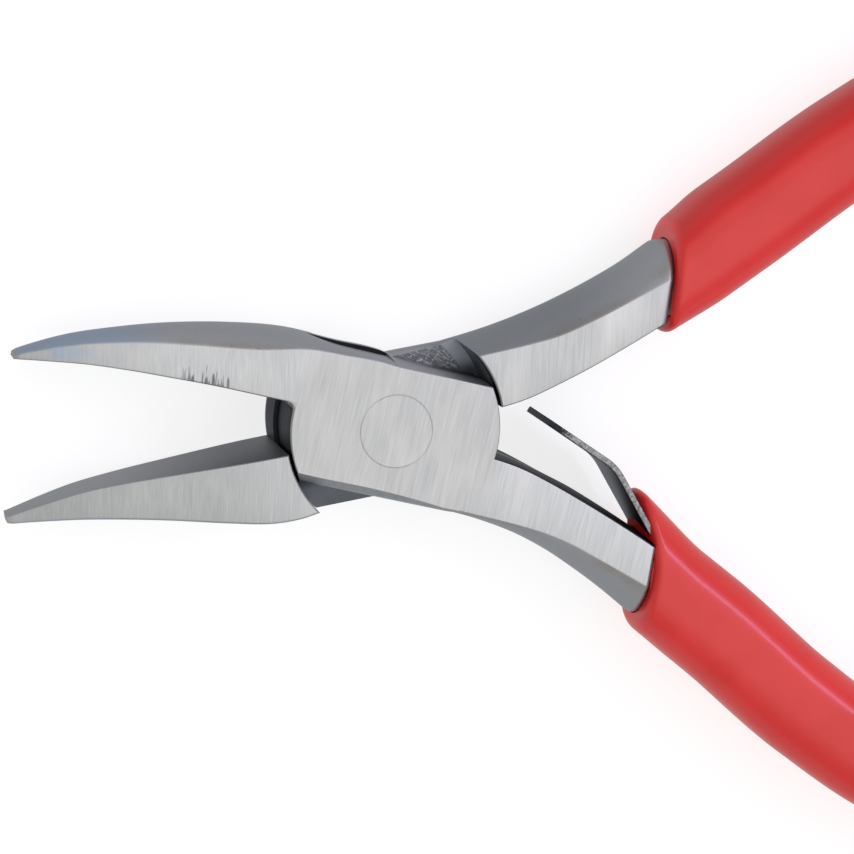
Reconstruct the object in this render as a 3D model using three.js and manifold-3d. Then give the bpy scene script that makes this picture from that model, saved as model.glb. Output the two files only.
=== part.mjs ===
// Small bent-nose pliers with a lap joint, a flush pivot rivet, one leaf spring and two sleeve grips.
//
// Millimetres. The tool lies flat on z = 0 and the pivot is the Z axis. Handles point to +X and jaws to -X.
// Each half is drawn as it lies when the tool is shut, with the tool's middle line on the X axis. Two
// groups then turn the halves by half of the opening each.

import * as THREE from 'three';
import { mergeVertices } from 'three/addons/utils/BufferGeometryUtils.js';
import Module from 'manifold-3d';

const wasm = await Module();
wasm.setup();

const { degToRad, lerp, smoothstep } = THREE.MathUtils;

// ---------------------------------------------------------------------------------------- dimensions

const OPENING = degToRad(23); // angle between the halves at rest
const THICKNESS = 9; // of the forgings and of the grips
const MID_HEIGHT = THICKNESS / 2;
const SIDE_ANGLE = degToRad(66); // half the arc of a forging's round side
const UPPER_TIP_X = -32;
const LOWER_TIP_X = -32.75;
const MOUTH_GAP = 0.03; // each jaw stays this far off the mouth line, so shut jaws only just meet
const ROOT_FILLET = 0.6; // between the upper jaw's gripping edge and its lap plate

const FRONT_LAP_RADIUS = 9; // round free ends of the upper jaw half's plate
const REAR_LAP_RADIUS = 9.35; // and of the lower jaw half's plate
const SHOULDER_GAP = 0.3; // between a lap end and the hollow shoulder it turns in
const LAP_HEIGHT = 3.45; // level where the two lap plates meet
const LAP_CLEARANCE = 0.06;
const UNDERCUT_RADIUS = 8.1; // a shallow ring is cut in the rear plate, under the shoulder
const UNDERCUT_DEPTH = 0.25;
const UNDERCUT_END_Y = -3.7; // the ring stops short of the plate's lower side
const FLOOR_INSET = 0.45; // the rear plate's inner face ends this much short of its round side
const FLOOR_INSET_HEIGHT = 0.9;

const PIVOT_HEAD_RADIUS = 3.09;
const PIVOT_SHAFT_RADIUS = 2.3;
const PIVOT_HEAD_RIM = 0.4;
const PIVOT_HEAD_DEPTH = 1.1;
const RUNNING_GAP = 0.05;

const GRIP_END_X = 94.5;
const GRIP_MOUTH_ROUNDING = 0.8;
const GRIP_SQUARENESS = 2.6; // exponent of the grip's section, where 2 is an ellipse
const MOUTH_REACH = 5; // how far from the mouth its slant and lip fade out
const GRIP_END_ROUNDING = 4;
const SLEEVE_GAP = 0.15; // between a tang and the inside of its grip

const TANG_WIDTH = 5.2;
const TANG_FLAT = 1; // from a tang's middle line to the outer edge of its flat faces
const TANG_THICKNESS = 6.4;
const TANG_END_X = 89;
const DROP_START = -0.75; // the forging drops to the tang's thickness round the grip's mouth
const DROP_END = 0.15;
const CREST_NARROWING = [25, 31]; // where the outer side comes in to the tang
const INNER_NARROWING = [33, 44]; // and the inner side
const SHANK_DRAFT = 0.35; // how far the parting line stands out on the inner side of a handle
const DRAFT_RISE = [12, 18];

const STRIP_THICKNESS = 0.6;
const STRIP_WIDTH = 6.4;
const STRIP_REST_GAP = 0.1; // between the spring's foot and the shank
const STRIP_ROOT = [25.3, -4.6];
const STRIP_ELBOW = [20.2, 0.7];
const STRIP_TIP = [13.3, 3.3];
const BEND_BELOW_ELBOW = 0.17; // share of the strip's lower stretch that the bend takes up
const BEND_ABOVE_ELBOW = 0.13;
const FOOT_START_X = 26.1;
const FOOT_END_X = 33.5;
const BLADE_SWING = [[26.4, -4.9], [25.8, -4.3], [21, 0.75], [19, -3], [24, -5.2], [26.2, -5.9]];
const SWING_SIDE_GAP = 0.3; // beside the strip, inside the lower grip
const FOOT_COVER_GAP = 0.1; // between the spring's foot and the lower grip

const SPRING_RIVET_X = 30;
const SPRING_RIVET_HEAD = 1.5;
const SPRING_RIVET_SHAFT = 0.9;
const SPRING_RIVET_LENGTH = 2.6;
const SPRING_RIVET_RIM = 0.2;
const SPRING_RIVET_DOME = 0.45;
const SPRING_RIVET_GAP = 0.15; // between its head and the lower grip

const ARC_STEPS = 4; // facets in each quarter of a rounded side
const ROUND_STEPS = 64;
const GRIP_SIDES = 22;
const GRIP_END_ANGLES = [0.4, 0.68, 0.96, 1.24, 1.52]; // of its rings, short of the pole

// Lines of the forgings as [x, y] points, from the tip to the handle. A half has its jaw on one side of
// the middle line and its handle on the other, so distances on the handles are the same for both halves.

const MOUTH_LINE = [[-32.5, -1.38], [-29.5, -0.85], [-26.5, -0.43], [-23, -0.25], [-18, -0.2], [0, -0.2]];
const MOUTH_RELIEF = [[-32.5, 0.03], [-27, 0.07], [-21, 0.34], [-15, 0.62], [0, 0.62]];
const UPPER_JAW_CREST = [[-32.5, -1], [-31, -0.05], [-28, 1.52], [-24, 3.02], [-20, 4.24], [-15, 5.35],
  [-10.5, 5.95], [-6, 5.85], [-1.6, 5.8], [0, 5.4], [8, 5.4]];
const LOWER_JAW_CREST = [[-32.5, 2.25], [-30, 2.55], [-27, 2.97], [-24, 3.5], [-20, 4.3], [-15, 5.45],
  [-11.5, 6.1], [-9, 6.1], [-7, 5.8], [8, 5.8]];
const UPPER_FLAT_SHARE = [[-32.5, 0.7], [-24, 0.72], [-13, 0.73], [-8, 0.88], [8, 0.9]];
const LOWER_FLAT_SHARE = [[-32.5, 0.85], [-24, 0.9], [-13, 0.93], [-8, 0.95], [8, 0.95]];
const JAW_THICKNESS = [[-32.5, 2.4], [-31, 2.9], [-29, 3.6], [-24, 4.95], [-18, 6.9], [-12, 8.7],
  [-9, THICKNESS], [8, THICKNESS]];

const UPPER_SHANK_INNER = [[-8, -0.2], [9, 0.2], [11.6, 0.5], [14.3, 1.17], [17.5, 2.12], [20.5, 3.15],
  [24.5, 4.65], [33, 8.2], [44, 13.3]];
const LOWER_SHANK_INNER = [[-8, 0.1], [9, 0.5], [11.6, 0.84], [14.3, 1.52], [17.5, 2.5], [20.5, 3.5],
  [24.5, 4.95], [33, 8.3], [44, 13.4]];
const UPPER_SHANK_FLAT = [[-8, 4.7], [5, 4.8], [8, 5], [12.5, 5.15], [15, 5.35], [17.5, 5.9], [20, 6.6],
  [25, 8.2]];
const LOWER_SHANK_FLAT = [[-8, 5.3], [8, 5.6], [12.5, 5.75], [15, 5.95], [17.5, 6.4], [20, 7.1],
  [25, 8.6]];
const UPPER_SHANK_CREST = [[-8, 5], [5, 5.3], [8, 5.65], [10.3, 6.05], [13.4, 6.72], [16.5, 7.5],
  [19.8, 8.5], [22.8, 9.6], [25.7, 11]];
const LOWER_SHANK_CREST = [[-8, 6], [8, 6.2], [10.3, 6.45], [13.4, 6.98], [16.5, 7.83], [19.8, 9.08],
  [22.8, 10.4], [25.7, 11.85]];
const UPPER_GRIP_MIDDLE = [[20, 4.9], [25.6, 7.5], [34, 11.4], [44, 16.1], [54, 19.7], [64, 21.4],
  [74, 21.6], [84, 20.8], [GRIP_END_X, 19.4]];
const LOWER_GRIP_MIDDLE = [[20, 5.2], [25.6, 7.85], [34, 11.8], [44, 17], [54, 21], [64, 22.8],
  [74, 22.8], [84, 21.8], [GRIP_END_X, 20.2]];

// The lap plates' long sides: distance from the middle line to the flat face's edge and to the crest.
const FRONT_LAP_TOP = [5.35, 5.42];
const FRONT_LAP_BOTTOM = [5.6, 6.3];
const REAR_LAP_TOP = [4.9, 5.65];
const REAR_LAP_BOTTOM = [5.5, 6.6];

// A bevel along the lower edge of the front face, as [x, distance of its inner edge from the middle line].
const BEVEL_LINE = [[-9.6, 4.95], [-7, 5.12], [0, 5.15], [5, 5.45], [9, 5.95]];
const BEVEL_OUTER = 6.5; // distance from the middle line at which the bevel's slope is BEVEL_DEPTH down
const BEVEL_DEPTH = 1.2;

// The inner edge of a narrow ledge low in the front plate's round side, next to the jaw.
const LEDGE_LINE = [[-8.4, 5.93], [-7.2, 5.74], [-6, 5.6], [-3, 5.53], [-1.3, 5.5]];
const LEDGE_HEIGHT = 4.6;

// y as a smooth function of x, through the points of a line.
function lineThrough(points) {
  const xs = points.map(([x]) => x);
  const ys = points.map(([, y]) => y);
  const curve = new THREE.CubicInterpolant(xs, ys, 1, [0]);
  return (x) => curve.evaluate(x)[0];
}

// What differs between the handles. A grip's mouth slants forward on its inner side, and the lower grip
// has a lip there that covers the spring's root.
const UPPER_HANDLE = {
  innerAt: lineThrough(UPPER_SHANK_INNER),
  flatAt: lineThrough(UPPER_SHANK_FLAT),
  crestAt: lineThrough(UPPER_SHANK_CREST),
  middleAt: lineThrough(UPPER_GRIP_MIDDLE),
  gripWidth: 8.75,
  mouthX: 25.9,
  mouthSlant: 0.95,
  lipLength: 0,
  lipLift: 0,
};
const LOWER_HANDLE = {
  innerAt: lineThrough(LOWER_SHANK_INNER),
  flatAt: lineThrough(LOWER_SHANK_FLAT),
  crestAt: lineThrough(LOWER_SHANK_CREST),
  middleAt: lineThrough(LOWER_GRIP_MIDDLE),
  gripWidth: 9.2,
  mouthX: 25.85,
  mouthSlant: 0.3,
  lipLength: 2.1,
  lipLift: 2.1,
};

// ------------------------------------------------------------------------------------------- helpers

// Values from a to b, both included.
function spread(a, b, count) {
  return Array.from({ length: count + 1 }, (_, i) => lerp(a, b, i / count));
}

// Closed skin over a row of rings, each a list of Vector3 with the same length. Both ends are capped with
// a fan round the ring's centre. Rings turn anticlockwise as seen from the last one.
function loft(rings) {
  const size = rings[0].length;
  const middleOf = (ring) => ring.reduce((sum, p) => sum.add(p), new THREE.Vector3()).divideScalar(size);
  const points = [...rings.flat(), middleOf(rings[0]), middleOf(rings.at(-1))];
  const startMiddle = points.length - 2;
  const endMiddle = points.length - 1;
  const lastRing = (rings.length - 1) * size;
  const index = [];
  for (let j = 0; j < size; j += 1) {
    const next = (j + 1) % size;
    for (let i = 0; i < rings.length - 1; i += 1) {
      const [a, b] = [i * size + j, i * size + next];
      index.push(a, b, b + size, a, b + size, a + size);
    }
    index.push(startMiddle, next, j);
    index.push(endMiddle, lastRing + j, lastRing + next);
  }
  const geometry = new THREE.BufferGeometry().setFromPoints(points);
  geometry.setIndex(index);
  return geometry;
}

// A manifold solid from any closed three.js geometry. Triangles that merging has closed up are left out.
function solidOf(geometry) {
  const bare = geometry.clone();
  bare.deleteAttribute('normal');
  bare.deleteAttribute('uv');
  const merged = mergeVertices(bare, 1e-5);
  const corners = merged.index.array;
  const triangles = [];
  for (let i = 0; i < corners.length; i += 3) {
    const [a, b, c] = corners.slice(i, i + 3);
    if (a !== b && b !== c && c !== a) triangles.push(a, b, c);
  }
  return new wasm.Manifold(new wasm.Mesh({
    numProp: 3,
    vertProperties: new Float32Array(merged.attributes.position.array),
    triVerts: new Uint32Array(triangles),
  }));
}

// A three.js geometry from a manifold solid.
function geometryOf(solid) {
  const { vertProperties, triVerts } = solid.getMesh();
  const geometry = new THREE.BufferGeometry();
  geometry.setAttribute('position', new THREE.BufferAttribute(vertProperties, 3));
  geometry.setIndex(new THREE.BufferAttribute(triVerts, 1));
  geometry.computeVertexNormals();
  return geometry;
}

// An upright round solid from z = low to z = high.
function disc(radius, low, high) {
  const cylinder = new THREE.CylinderGeometry(radius, radius, high - low, ROUND_STEPS);
  cylinder.rotateX(Math.PI / 2);
  cylinder.translate(0, 0, (low + high) / 2);
  return solidOf(cylinder);
}

// An upright prism on a plan outline of [x, y] points, from z = low to z = high.
function prism(outline, low, high) {
  const shape = new THREE.Shape(outline.map(([x, y]) => new THREE.Vector2(x, y)));
  const geometry = new THREE.ExtrudeGeometry(shape, { depth: high - low, bevelEnabled: false });
  geometry.translate(0, 0, low);
  return solidOf(geometry);
}

// Flips a geometry to the other side of the tool's middle line, and turns its faces out again.
function mirrored(geometry) {
  const flipped = geometry.clone().scale(1, -1, 1);
  const index = flipped.index.array;
  for (let i = 0; i < index.length; i += 3) {
    [index[i], index[i + 1]] = [index[i + 1], index[i]];
  }
  return flipped;
}

// ------------------------------------------------------------------------------------- forged halves

// How far a round side stands out, from 0 where it meets a flat face to 1 at its crest.
const sideBulge = (angle) => (Math.cos(angle) - Math.cos(SIDE_ANGLE)) / (1 - Math.cos(SIDE_ANGLE));

// Section of a forging in the plane x: an inner side that may have a parting line standing out by the
// draft, flat front and rear faces out to `flat`, and a round side out to `crest`.
function forgedRing(x, inner, flat, crest, thickness, draft = 0) {
  const half = thickness / 2;
  const ring = [
    new THREE.Vector3(x, inner - draft, MID_HEIGHT),
    new THREE.Vector3(x, inner, MID_HEIGHT - half),
  ];
  for (const angle of spread(-SIDE_ANGLE, SIDE_ANGLE, 2 * ARC_STEPS)) {
    const height = half * Math.sin(angle) / Math.sin(SIDE_ANGLE);
    ring.push(new THREE.Vector3(x, flat + (crest - flat) * sideBulge(angle), MID_HEIGHT + height));
  }
  ring.push(new THREE.Vector3(x, inner, MID_HEIGHT + half));
  return ring;
}

// A jaw on the +Y side, from its tip to the middle of the joint.
function jaw(tipX, innerAt, crestAt, flatShareAt) {
  const thicknessAt = lineThrough(JAW_THICKNESS);
  const stations = [...spread(tipX, -28, 6), ...spread(-27, 0, 18)];
  return loft(stations.map((x) => {
    const inner = innerAt(x);
    const crest = crestAt(x);
    const thickness = Math.min(THICKNESS, thicknessAt(x));
    return forgedRing(x, inner, inner + flatShareAt(x) * (crest - inner), crest, thickness);
  }));
}

// How much longer a width across a handle's run is when it is measured along Y.
const stretchAlongY = (middleAt, x) => Math.hypot(1, middleAt(x + 0.5) - middleAt(x - 0.5));

// How far a forging's sections lean with the slant of the grip's mouth, which they do only near it.
function leanAt({ mouthX, mouthSlant }, x) {
  const rise = smoothstep(x, mouthX - 4, mouthX - 1.5);
  const fall = smoothstep(x, mouthX + 2, mouthX + 5);
  return mouthSlant * rise * (1 - fall);
}

// A handle on the +Y side, from the middle of the joint to the end of its tang. The forging keeps its
// full size up to the grip's mouth, and then drops to the thinner tang. `growth` is added all round.
function handle(lines, growth = 0) {
  const { innerAt, flatAt, crestAt, middleAt, mouthX } = lines;
  const stations = [
    ...spread(0, mouthX - 1.5, 20),
    ...spread(mouthX - 1, mouthX + 0.5, 6),
    ...spread(mouthX + 1.5, TANG_END_X + growth, 20),
  ];
  return loft(stations.map((x) => {
    const drop = smoothstep(x, mouthX + DROP_START, mouthX + DROP_END);
    const lean = leanAt(lines, x);
    const halfTang = (TANG_WIDTH / 2) * stretchAlongY(middleAt, x);
    const narrowing = smoothstep(x, ...CREST_NARROWING);
    const inner = lerp(innerAt(x - lean), middleAt(x) - halfTang, smoothstep(x, ...INNER_NARROWING));
    const crest = lerp(crestAt(x + lean), middleAt(x) + halfTang, narrowing);
    const flat = lerp(flatAt(x), middleAt(x) + TANG_FLAT, narrowing);
    const thickness = lerp(THICKNESS, TANG_THICKNESS, drop);
    const draft = SHANK_DRAFT * smoothstep(x, ...DRAFT_RISE) * (1 - drop);
    const ring = forgedRing(x, inner - growth, flat, crest + growth, thickness + 2 * growth, draft);
    for (const point of ring) {
      point.x += lean * (2 * (point.y - inner) / (crest - inner) - 1);
    }
    return ring;
  }));
}

// Lap plate with the round free ends. Its long sides carry on the lines of the jaws and handles, and
// come in by `topInset` at its upper face.
function lapPlate(radius, low, high, topSide, bottomSide, topInset = 0) {
  const rings = spread(low, high, 6).map((z) => {
    const bulge = sideBulge(((z - MID_HEIGHT) / MID_HEIGHT) * SIDE_ANGLE);
    const inset = topInset * Math.max(0, 1 - (high - z) / FLOOR_INSET_HEIGHT) ** 2;
    const topAngle = Math.asin((lerp(...topSide, bulge) - inset) / radius);
    const bottomAngle = Math.asin(lerp(...bottomSide, bulge) / radius);
    const right = spread(-bottomAngle, topAngle, ROUND_STEPS / 4);
    const left = spread(Math.PI - topAngle, Math.PI + bottomAngle, ROUND_STEPS / 4);
    return [...right, ...left].map((angle) => new THREE.Vector3(
      radius * Math.cos(angle), radius * Math.sin(angle), z));
  });
  return solidOf(loft(rings));
}

// Fillet in the corner between the upper jaw's gripping edge and the left end of the front lap plate.
function rootFillet(edgeY) {
  const cornerX = -FRONT_LAP_RADIUS;
  const arc = spread(0, Math.PI / 2, ARC_STEPS).map((angle) => [
    cornerX - ROOT_FILLET * (1 - Math.cos(angle)),
    edgeY - ROOT_FILLET * (1 - Math.sin(angle)),
  ]);
  const inside = ROOT_FILLET / 2; // the fillet reaches this far into the jaw and the plate
  const outline = [
    ...arc,
    [cornerX - ROOT_FILLET, edgeY + inside],
    [cornerX + inside, edgeY + inside],
    [cornerX + inside, edgeY - ROOT_FILLET],
  ];
  return prism(outline, LAP_HEIGHT + LAP_CLEARANCE, THICKNESS);
}

// The pivot rivet, or the hole for it when a gap is given. Both ends are countersunk heads, ground flush.
function pivotProfile(gap = 0) {
  const [head, shaft] = [PIVOT_HEAD_RADIUS + gap, PIVOT_SHAFT_RADIUS + gap];
  const side = [[head, -gap], [head, PIVOT_HEAD_RIM], [shaft, PIVOT_HEAD_DEPTH]];
  const otherSide = side.map(([radius, z]) => [radius, THICKNESS - z]).reverse();
  const outline = [[0, -gap], ...side, ...otherSide, [0, THICKNESS + gap]];
  const points = outline.map(([radius, z]) => new THREE.Vector2(radius, z));
  return new THREE.LatheGeometry(points, ROUND_STEPS).rotateX(Math.PI / 2);
}

// Cutter for the bevel along the lower edge of the upper jaw half's front face.
function bevelCutter() {
  const above = THICKNESS + 1;
  return solidOf(loft(BEVEL_LINE.map(([x, edge]) => [
    new THREE.Vector3(x, -edge, THICKNESS),
    new THREE.Vector3(x, -edge, above),
    new THREE.Vector3(x, -BEVEL_OUTER, above),
    new THREE.Vector3(x, -BEVEL_OUTER, THICKNESS - BEVEL_DEPTH),
  ])));
}

// Cutter that leaves the narrow ledge low in the front plate's round side.
function ledgeCutter() {
  const outline = [...LEDGE_LINE, [LEDGE_LINE.at(-1)[0], 7], [LEDGE_LINE[0][0], 7]];
  return prism(outline, LEDGE_HEIGHT, THICKNESS + 1);
}

function upperJawHalf() {
  const mouthAt = lineThrough(MOUTH_LINE);
  const reliefAt = lineThrough(MOUTH_RELIEF);
  const edgeAt = (x) => mouthAt(x) + reliefAt(x);
  const upperJaw = jaw(UPPER_TIP_X, edgeAt, lineThrough(UPPER_JAW_CREST), lineThrough(UPPER_FLAT_SHARE));
  return solidOf(upperJaw)
    .add(solidOf(mirrored(handle(LOWER_HANDLE))))
    .subtract(disc(REAR_LAP_RADIUS + SHOULDER_GAP, -1, LAP_HEIGHT + LAP_CLEARANCE))
    .add(lapPlate(FRONT_LAP_RADIUS, LAP_HEIGHT + LAP_CLEARANCE, THICKNESS, FRONT_LAP_TOP, FRONT_LAP_BOTTOM))
    .add(rootFillet(edgeAt(-FRONT_LAP_RADIUS)))
    .subtract(bevelCutter())
    .subtract(ledgeCutter())
    .subtract(solidOf(pivotProfile(RUNNING_GAP)))
    .subtract(springRivet(RUNNING_GAP));
}

function lowerJawHalf() {
  const mouthAt = lineThrough(MOUTH_LINE);
  const edgeAt = (x) => MOUTH_GAP - mouthAt(x);
  const lowerJaw = jaw(LOWER_TIP_X, edgeAt, lineThrough(LOWER_JAW_CREST), lineThrough(LOWER_FLAT_SHARE));
  const undercut = disc(FRONT_LAP_RADIUS + SHOULDER_GAP, LAP_HEIGHT - UNDERCUT_DEPTH, LAP_HEIGHT + 1)
    .subtract(disc(UNDERCUT_RADIUS, 0, THICKNESS))
    .trimByPlane([0, 1, 0], UNDERCUT_END_Y);
  return solidOf(mirrored(lowerJaw))
    .add(solidOf(handle(UPPER_HANDLE)))
    .subtract(disc(FRONT_LAP_RADIUS + SHOULDER_GAP, LAP_HEIGHT, THICKNESS + 1))
    .add(lapPlate(REAR_LAP_RADIUS, 0, LAP_HEIGHT, REAR_LAP_TOP, REAR_LAP_BOTTOM, FLOOR_INSET))
    .subtract(undercut)
    .subtract(solidOf(pivotProfile(RUNNING_GAP)));
}

// ------------------------------------------------------------------------------------- leaf spring

// A strip of the spring's section along a plan path of Vector2 points.
function strip(path) {
  const half = STRIP_THICKNESS / 2;
  const sides = path.map((point, i) => {
    const before = path[Math.max(i - 1, 0)];
    const after = path[Math.min(i + 1, path.length - 1)];
    const along = after.clone().sub(before).normalize();
    const across = new THREE.Vector2(-along.y, along.x).multiplyScalar(half);
    return [point.clone().add(across), point.clone().sub(across)];
  });
  const left = sides.map(([point]) => point.toArray());
  const right = sides.map(([, point]) => point.toArray());
  const outline = [...left, ...right.reverse()];
  return prism(outline, MID_HEIGHT - STRIP_WIDTH / 2, MID_HEIGHT + STRIP_WIDTH / 2);
}

// The blade rises from the lower grip's mouth, bends at its elbow and ends free between the handles.
function springBlade() {
  const [root, elbow, tip] = [STRIP_ROOT, STRIP_ELBOW, STRIP_TIP].map(([x, y]) => new THREE.Vector2(x, y));
  const bendStart = elbow.clone().lerp(root, BEND_BELOW_ELBOW);
  const bendEnd = elbow.clone().lerp(tip, BEND_ABOVE_ELBOW);
  const bend = new THREE.QuadraticBezierCurve(bendStart, elbow, bendEnd);
  return strip([root, ...bend.getPoints(6), tip]);
}

// The foot's middle line on the lower shank.
function footLine(x) {
  return new THREE.Vector2(x, STRIP_REST_GAP + STRIP_THICKNESS / 2 - LOWER_HANDLE.innerAt(x));
}

function springFoot() {
  const middle = spread(FOOT_START_X, FOOT_END_X, 6).map(footLine);
  return strip(middle).subtract(springRivet(RUNNING_GAP));
}

// A round-headed rivet square to the shank, through the spring's foot. A gap makes the hole for it.
function springRivet(gap = 0) {
  const seat = STRIP_THICKNESS / 2 + 0.02; // just clear of the foot's outer face
  const [head, shaft] = [SPRING_RIVET_HEAD + gap, SPRING_RIVET_SHAFT + gap];
  const top = seat + SPRING_RIVET_RIM + SPRING_RIVET_DOME + gap;
  const outline = [
    [0, -SPRING_RIVET_LENGTH - gap],
    [shaft, -SPRING_RIVET_LENGTH - gap],
    [shaft, seat],
    [head, seat],
    [head, seat + SPRING_RIVET_RIM],
    [0.6 * head, top - 0.1 * SPRING_RIVET_DOME],
    [0, top],
  ];
  const points = outline.map(([radius, y]) => new THREE.Vector2(radius, y));
  const rivet = new THREE.LatheGeometry(points, ROUND_STEPS / 2);
  const middle = footLine(SPRING_RIVET_X);
  const along = footLine(SPRING_RIVET_X + 0.5).sub(footLine(SPRING_RIVET_X - 0.5));
  rivet.rotateZ(along.angle());
  rivet.translate(middle.x, middle.y, MID_HEIGHT);
  return solidOf(rivet);
}

// ------------------------------------------------------------------------------------------- grips

// Outside of a sleeve grip on the +Y side. Its mouth slants and its edge is rounded, and its far end is
// closed and round. `lip` draws the inner side of the mouth forward and lifts it over the spring's root.
function gripSkin({ middleAt, gripWidth, mouthX, mouthSlant, lipLength, lipLift }) {
  const endX = GRIP_END_X - GRIP_END_ROUNDING;
  const stations = [
    ...spread(0, Math.PI / 2, 4).map((angle) => mouthX + GRIP_MOUTH_ROUNDING * (1 - Math.cos(angle))),
    ...spread(mouthX + 2, endX, 22),
    ...GRIP_END_ANGLES.map((angle) => endX + GRIP_END_ROUNDING * Math.sin(angle)),
  ];
  return loft(stations.map((x) => {
    const fromMouth = Math.min(1, (x - mouthX) / GRIP_MOUTH_ROUNDING);
    const intoEnd = Math.max(0, (x - endX) / GRIP_END_ROUNDING);
    const rounding = GRIP_MOUTH_ROUNDING * (1 - Math.sqrt(1 - (1 - fromMouth) ** 2));
    const closing = Math.sqrt(1 - intoEnd ** 2);
    const halfWidth = (gripWidth / 2 - rounding) * stretchAlongY(middleAt, x) * closing;
    const halfHeight = (MID_HEIGHT - rounding) * closing;
    const nearMouth = 1 - smoothstep(x, mouthX, mouthX + MOUTH_REACH);
    return spread(0, 2 * Math.PI, GRIP_SIDES).slice(0, -1).map((angle) => {
      const across = squared(Math.cos(angle));
      const upward = squared(Math.sin(angle));
      const lip = nearMouth * Math.max(0, -across) ** 2;
      const forward = nearMouth * mouthSlant * across - lip * lipLength;
      const y = middleAt(x) + halfWidth * across - lip * lipLift;
      return new THREE.Vector3(x + forward, y, MID_HEIGHT + halfHeight * upward);
    });
  }));
}

// A cosine or sine pushed outwards, which squares up a round section.
const squared = (value) => Math.sign(value) * Math.abs(value) ** (2 / GRIP_SQUARENESS);

function upperGrip() {
  return solidOf(gripSkin(UPPER_HANDLE)).subtract(solidOf(handle(UPPER_HANDLE, SLEEVE_GAP)));
}

// The lower grip also has room for the spring's foot, its rivet and the swing of the blade.
function lowerGrip() {
  const halfRoom = STRIP_WIDTH / 2 + SWING_SIDE_GAP;
  const [low, high] = [MID_HEIGHT - halfRoom, MID_HEIGHT + halfRoom];
  const [startX, endX] = [FOOT_START_X - 1, FOOT_END_X + SWING_SIDE_GAP];
  const overFoot = spread(startX, endX, 6).map((x) => {
    const point = footLine(x);
    return [point.x, point.y + STRIP_THICKNESS / 2 + FOOT_COVER_GAP];
  });
  const inTang = [endX, startX].map((x) => [x, -LOWER_HANDLE.middleAt(x)]);
  const footRoom = prism([...overFoot, ...inTang], low, high);
  return solidOf(mirrored(gripSkin(LOWER_HANDLE)))
    .subtract(solidOf(mirrored(handle(LOWER_HANDLE, SLEEVE_GAP))))
    .subtract(footRoom)
    .subtract(prism(BLADE_SWING, low, high))
    .subtract(springRivet(SPRING_RIVET_GAP));
}

// ------------------------------------------------------------------------------------------- assembly

const UPPER_STEEL = { color: 0xc8cccd, roughness: 0.35, metalness: 1 };
const LOWER_STEEL = { color: 0xb5b5b0, roughness: 0.35, metalness: 1 };
const PIVOT_STEEL = { color: 0xc2c6c8, roughness: 0.35, metalness: 1 };
const SPRING_STEEL = { color: 0x6c6c70, roughness: 0.3, metalness: 1 };
const SPRING_RIVET_STEEL = { color: 0x8a8a88, roughness: 0.4, metalness: 1 };
const RED_VINYL = { color: 0xcc2e2a, roughness: 0.4, metalness: 0 };

function piece(name, solid, look) {
  const mesh = new THREE.Mesh(geometryOf(solid), new THREE.MeshStandardMaterial(look));
  mesh.name = name;
  return mesh;
}

const upperJawGroup = new THREE.Group();
upperJawGroup.rotation.z = -OPENING / 2;
upperJawGroup.add(
  piece('upper_jaw_half', upperJawHalf(), UPPER_STEEL),
  piece('pivot_rivet', solidOf(pivotProfile()), PIVOT_STEEL),
  piece('leaf_spring', springBlade(), SPRING_STEEL),
  piece('leaf_spring_foot', springFoot(), SPRING_STEEL),
  piece('spring_rivet', springRivet(), SPRING_RIVET_STEEL),
  piece('lower_grip', lowerGrip(), RED_VINYL),
);

const lowerJawGroup = new THREE.Group();
lowerJawGroup.rotation.z = OPENING / 2;
lowerJawGroup.add(
  piece('lower_jaw_half', lowerJawHalf(), LOWER_STEEL),
  piece('upper_grip', upperGrip(), RED_VINYL),
);

const pliers = new THREE.Group();
pliers.add(upperJawGroup, lowerJawGroup);

export default pliers;
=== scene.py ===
"""Looks of the bent nose pliers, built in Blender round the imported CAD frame.

Shapes are worked out in millimetres, each half as it lies when the tool is shut: the pivot is the Z
axis, jaws point to -X and handles to +X. Every finished mesh is turned to the rest pose and scaled to
metres at the very end, by `make_object`.
"""

import math

import bpy
from mathutils import Matrix, Vector


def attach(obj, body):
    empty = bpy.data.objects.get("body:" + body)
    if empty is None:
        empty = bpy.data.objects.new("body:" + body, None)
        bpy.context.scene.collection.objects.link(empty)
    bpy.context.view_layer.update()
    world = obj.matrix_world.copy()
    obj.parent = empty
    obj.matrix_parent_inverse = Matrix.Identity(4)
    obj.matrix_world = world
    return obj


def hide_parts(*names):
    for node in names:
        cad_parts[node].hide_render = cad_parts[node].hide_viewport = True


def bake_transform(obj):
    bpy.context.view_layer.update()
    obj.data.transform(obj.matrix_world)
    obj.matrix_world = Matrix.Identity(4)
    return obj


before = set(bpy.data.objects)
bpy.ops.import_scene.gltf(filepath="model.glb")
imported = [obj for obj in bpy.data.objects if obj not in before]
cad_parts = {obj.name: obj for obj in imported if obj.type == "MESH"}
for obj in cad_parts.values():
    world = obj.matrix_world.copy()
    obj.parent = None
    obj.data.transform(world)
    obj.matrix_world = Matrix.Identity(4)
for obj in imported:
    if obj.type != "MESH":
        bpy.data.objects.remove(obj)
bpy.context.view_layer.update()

MM = 0.001
HALF_OPENING = math.radians(11.5)
UPPER_TURN = -HALF_OPENING  # of the half that has the upper jaw and the spring
LOWER_TURN = HALF_OPENING  # of the half that has the lower jaw

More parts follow.
